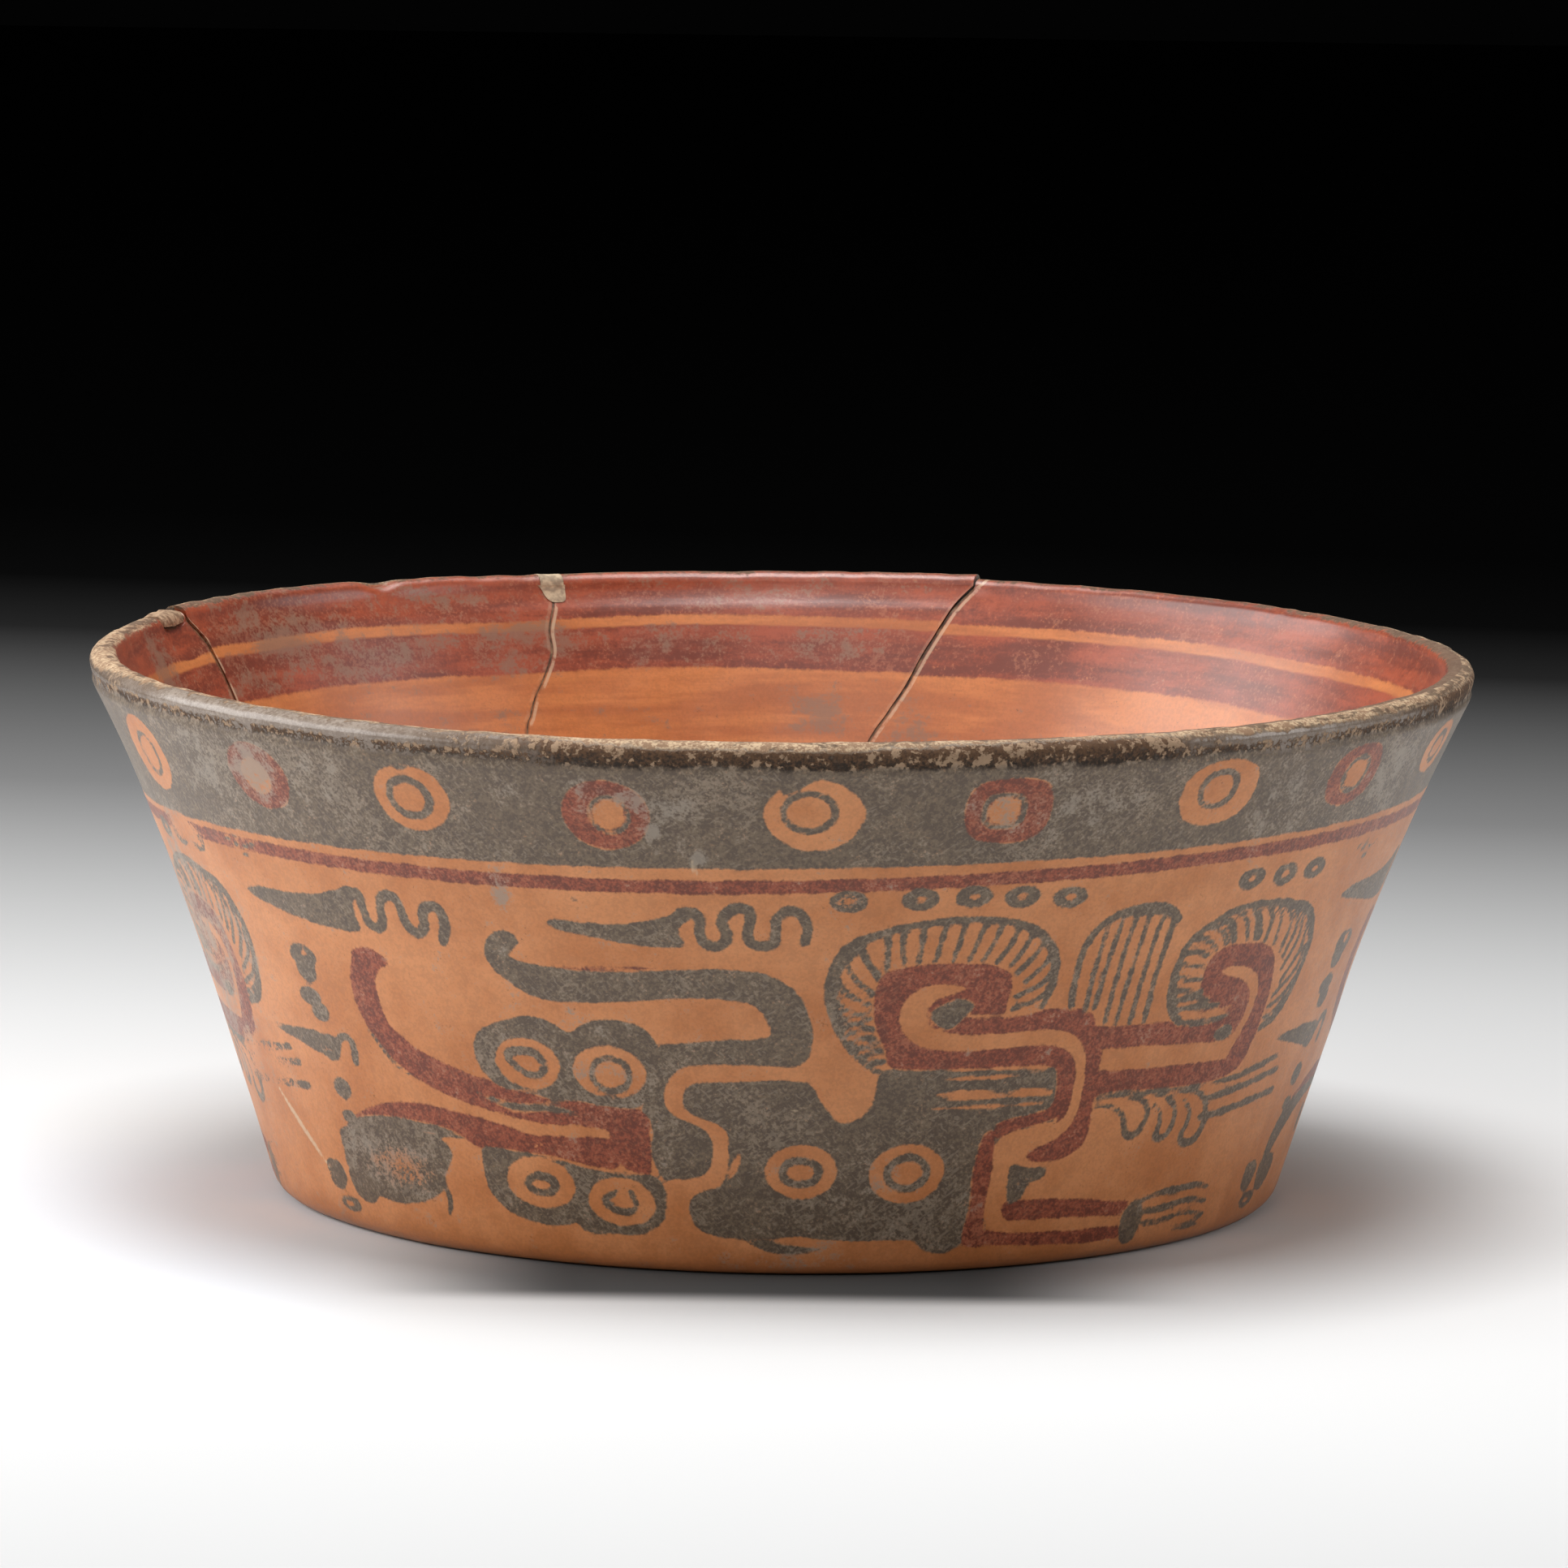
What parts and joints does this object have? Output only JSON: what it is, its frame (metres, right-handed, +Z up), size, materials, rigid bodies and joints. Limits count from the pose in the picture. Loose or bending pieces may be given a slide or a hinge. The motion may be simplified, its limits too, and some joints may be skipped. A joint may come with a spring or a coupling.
{
  "type": "pottery bowl",
  "caption": "Round pottery bowl with flaring walls, an open top and a flat base to stand on, slip-painted outside and in, rejoined from pieces at the back.",
  "frame": {"origin": "centre of the flat underside, on the surface that the bowl stands on", "axes": "+Z up along the bowl's axis, -Y towards the front with the main painted figure, +X to the right when the front is faced"},
  "size_m": [0.225, 0.225, 0.0881],
  "materials": {
    "painted_clay": "burnished orange slip painted in black-brown and maroon, satin where the polish is kept, worn to buff clay along the lip",
    "old_glue": "aged brown resin adhesive, dull, a little below the surface",
    "pale_putty": "smoothed pale plaster filler, matt",
    "tan_putty": "lumpy tan plaster filler, matt"
  },
  "bodies": {
    "root": {"main_body": "painted_clay", "back_left_sherd": "painted_clay", "back_centre_sherd": "painted_clay", "left_glue_line": "old_glue", "centre_glue_line": "old_glue", "right_glue_line": "old_glue", "lower_left_glue_line": "old_glue", "lower_centre_glue_line": "old_glue", "centre_rim_fill": "pale_putty", "left_rim_fill": "tan_putty"}
  },
  "joints": []
}
